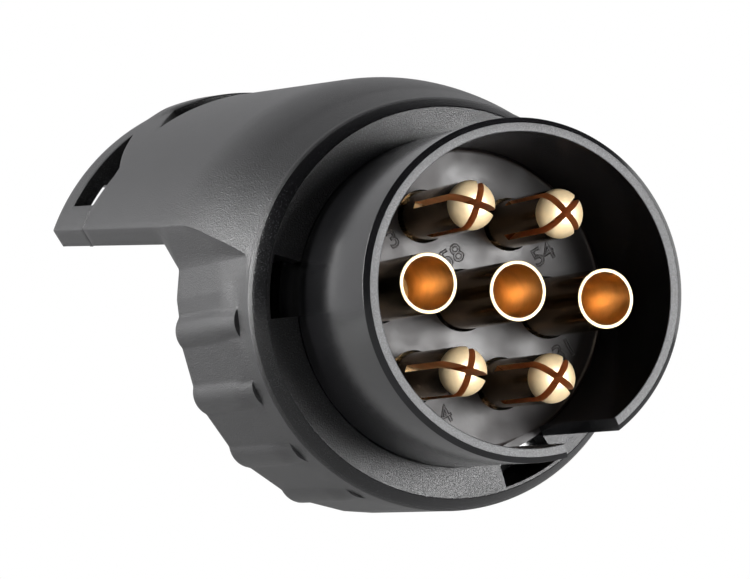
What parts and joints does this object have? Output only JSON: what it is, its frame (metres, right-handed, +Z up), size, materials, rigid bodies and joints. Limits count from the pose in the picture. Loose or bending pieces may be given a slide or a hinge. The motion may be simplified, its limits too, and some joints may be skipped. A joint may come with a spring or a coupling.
{
  "type": "trailer wiring adapter",
  "caption": "Compact trailer wiring adapter: round plug nose with split pins and tube contacts at the front, ribbed grip, and a half-round hood over a thirteen-pole socket at the back.",
  "frame": {"origin": "on the plug nose's axis, in the plane of the collar face that meets the vehicle socket", "axes": "-Y out of the plug nose, +Y to the back of the hood, +Z up (the hood's side), +X to the right seen from the plug's front"},
  "size_m": [0.0552, 0.1001, 0.0588],
  "materials": {
    "housing_plastic": "spark-eroded matte polyamide",
    "nose_plastic": "satin polyamide",
    "contact_brass": "turned, bright at the tips",
    "screw_steel": "zinc plated",
    "seal_rubber": "soft matte",
    "wire_yellow": "PVC insulation",
    "wire_blue": "PVC insulation",
    "wire_white": "PVC insulation",
    "wire_green": "PVC insulation",
    "wire_brown": "PVC insulation",
    "wire_red": "PVC insulation",
    "wire_black": "PVC insulation"
  },
  "bodies": {
    "root": {"housing": "housing_plastic", "plug_nose": "nose_plastic", "split_pin_upper_left": "contact_brass", "split_pin_upper_right": "contact_brass", "split_pin_lower_left": "contact_brass", "split_pin_lower_right": "contact_brass", "tube_contact_left": "contact_brass", "tube_contact_centre": "contact_brass", "tube_contact_right": "contact_brass", "contact_retainer": "nose_plastic", "retainer_screws": "screw_steel", "socket_insert": "nose_plastic", "socket_seal": "seal_rubber", "sleeve_plate": "nose_plastic", "earth_bridge": "contact_brass", "socket_sleeve_1": "contact_brass", "socket_sleeve_2": "contact_brass", "socket_sleeve_3": "contact_brass", "socket_sleeve_4": "contact_brass", "socket_sleeve_5": "contact_brass", "socket_sleeve_6": "contact_brass", "socket_sleeve_7": "contact_brass", "socket_sleeve_8": "contact_brass", "link_wire_1": "wire_yellow", "link_wire_2": "wire_blue", "link_wire_3": "wire_white", "link_wire_4": "wire_green", "link_wire_5": "wire_brown", "link_wire_6": "wire_red", "link_wire_7": "wire_black"}
  },
  "joints": []
}
